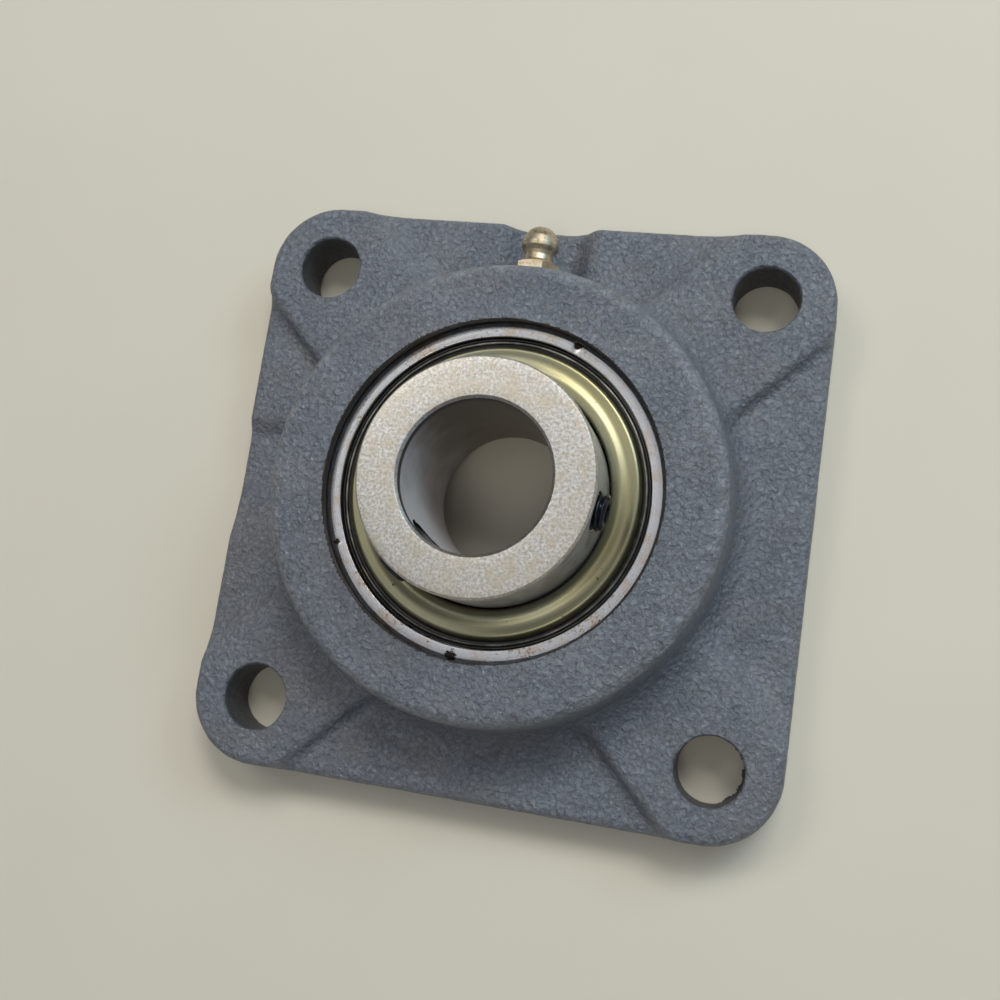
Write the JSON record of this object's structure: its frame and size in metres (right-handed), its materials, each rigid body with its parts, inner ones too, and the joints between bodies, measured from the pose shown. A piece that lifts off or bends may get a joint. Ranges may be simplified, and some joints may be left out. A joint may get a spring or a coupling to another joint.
{
  "type": "flange mount bearing",
  "caption": "Four-bolt square flange bearing: cast housing, self-aligning ball bearing insert with an extended inner ring, set screws and a grease fitting.",
  "frame": {"origin": "centre of the flange's mounting face, on the shaft axis", "axes": "+Z along the shaft axis, out of the mounting face towards the extended end of the inner ring; +Y towards the grease fitting; +X to the right seen from the front"},
  "size_m": [0.108, 0.108, 0.0363],
  "materials": {
    "cast_housing": "rough sand-cast",
    "ground_ring": "ground, with rust specks",
    "inner_ring_steel": "ground, lightly stained",
    "ball_steel": "polished",
    "pressed_steel": "bright pressed",
    "seal_rubber": "satin",
    "chromate_steel": "yellow zinc chromate, semi-gloss",
    "black_steel": "black oxide",
    "fitting_brass": "satin"
  },
  "bodies": {
    "frame": {"housing": "cast_housing", "grease_fitting_body": "fitting_brass", "grease_check_spring": "pressed_steel"},
    "check_ball": {"grease_check_ball": "ball_steel"},
    "insert": {"outer_ring": "ground_ring", "front_seal": "seal_rubber", "back_seal": "seal_rubber"},
    "shaft_ring": {"inner_ring": "inner_ring_steel", "front_flinger": "chromate_steel", "back_flinger": "chromate_steel"},
    "screw_1": {"set_screw_1": "black_steel"},
    "screw_2": {"set_screw_2": "black_steel"},
    "cage": {"cage_front": "pressed_steel", "cage_back": "pressed_steel", "cage_rivet_1": "pressed_steel", "cage_rivet_2": "pressed_steel", "cage_rivet_3": "pressed_steel", "cage_rivet_4": "pressed_steel", "cage_rivet_5": "pressed_steel", "cage_rivet_6": "pressed_steel", "cage_rivet_7": "pressed_steel", "cage_rivet_8": "pressed_steel", "cage_rivet_9": "pressed_steel"},
    "roller_1": {"ball_1": "ball_steel"},
    "roller_2": {"ball_2": "ball_steel"},
    "roller_3": {"ball_3": "ball_steel"},
    "roller_4": {"ball_4": "ball_steel"},
    "roller_5": {"ball_5": "ball_steel"},
    "roller_6": {"ball_6": "ball_steel"},
    "roller_7": {"ball_7": "ball_steel"},
    "roller_8": {"ball_8": "ball_steel"},
    "roller_9": {"ball_9": "ball_steel"}
  },
  "joints": [
    {"name": "align_tilt", "type": "hinge", "parent": "frame", "child": "insert", "pos_m": [0, 0, 0.0143], "axis": [1, 0, 0], "range_deg": [-3, 3]},
    {"name": "ring_spin", "type": "hinge", "parent": "insert", "child": "shaft_ring", "pos_m": [0, 0, 0.0143], "axis": [0, 0, 1], "continuous": true},
    {"name": "cage_spin", "type": "hinge", "parent": "insert", "child": "cage", "pos_m": [0, 0, 0.0143], "axis": [0, 0, 1], "continuous": true},
    {"name": "ball_1_spin", "type": "hinge", "parent": "cage", "child": "roller_1", "pos_m": [0, 0.023, 0.0143], "axis": [0, 0, 1], "continuous": true},
    {"name": "ball_2_spin", "type": "hinge", "parent": "cage", "child": "roller_2", "pos_m": [-0.01478, 0.01762, 0.0143], "axis": [0, 0, 1], "continuous": true},
    {"name": "ball_3_spin", "type": "hinge", "parent": "cage", "child": "roller_3", "pos_m": [-0.02265, 0.00399, 0.0143], "axis": [0, 0, 1], "continuous": true},
    {"name": "ball_4_spin", "type": "hinge", "parent": "cage", "child": "roller_4", "pos_m": [-0.01992, -0.0115, 0.0143], "axis": [0, 0, 1], "continuous": true},
    {"name": "ball_5_spin", "type": "hinge", "parent": "cage", "child": "roller_5", "pos_m": [-0.00787, -0.02161, 0.0143], "axis": [0, 0, 1], "continuous": true},
    {"name": "ball_6_spin", "type": "hinge", "parent": "cage", "child": "roller_6", "pos_m": [0.00787, -0.02161, 0.0143], "axis": [0, 0, 1], "continuous": true},
    {"name": "ball_7_spin", "type": "hinge", "parent": "cage", "child": "roller_7", "pos_m": [0.01992, -0.0115, 0.0143], "axis": [0, 0, 1], "continuous": true},
    {"name": "ball_8_spin", "type": "hinge", "parent": "cage", "child": "roller_8", "pos_m": [0.02265, 0.00399, 0.0143], "axis": [0, 0, 1], "continuous": true},
    {"name": "ball_9_spin", "type": "hinge", "parent": "cage", "child": "roller_9", "pos_m": [0.01478, 0.01762, 0.0143], "axis": [0, 0, 1], "continuous": true},
    {"name": "screw_1_travel", "type": "slide", "parent": "shaft_ring", "child": "screw_1", "axis": [-0.9903, 0.1392, 0], "range_m": [-0.001, 0.0022]},
    {"name": "screw_2_travel", "type": "slide", "parent": "shaft_ring", "child": "screw_2", "axis": [0.6157, 0.788, 0], "range_m": [-0.001, 0.0014]},
    {"name": "check_ball_lift", "type": "slide", "parent": "frame", "child": "check_ball", "axis": [0, -1, 0], "range_m": [0, 0.0008], "stiffness_N_per_m": 100, "springref_m": -0.002, "deforming": ["grease_check_spring"]}
  ],
  "couplings": [
    {"joint": "cage_spin", "follows": "ring_spin", "ratio": 0.39647},
    {"joint": "ball_1_spin", "follows": "ring_spin", "ratio": -2.3112},
    {"joint": "ball_2_spin", "follows": "ring_spin", "ratio": -2.3112},
    {"joint": "ball_3_spin", "follows": "ring_spin", "ratio": -2.3112},
    {"joint": "ball_4_spin", "follows": "ring_spin", "ratio": -2.3112},
    {"joint": "ball_5_spin", "follows": "ring_spin", "ratio": -2.3112},
    {"joint": "ball_6_spin", "follows": "ring_spin", "ratio": -2.3112},
    {"joint": "ball_7_spin", "follows": "ring_spin", "ratio": -2.3112},
    {"joint": "ball_8_spin", "follows": "ring_spin", "ratio": -2.3112},
    {"joint": "ball_9_spin", "follows": "ring_spin", "ratio": -2.3112}
  ]
}
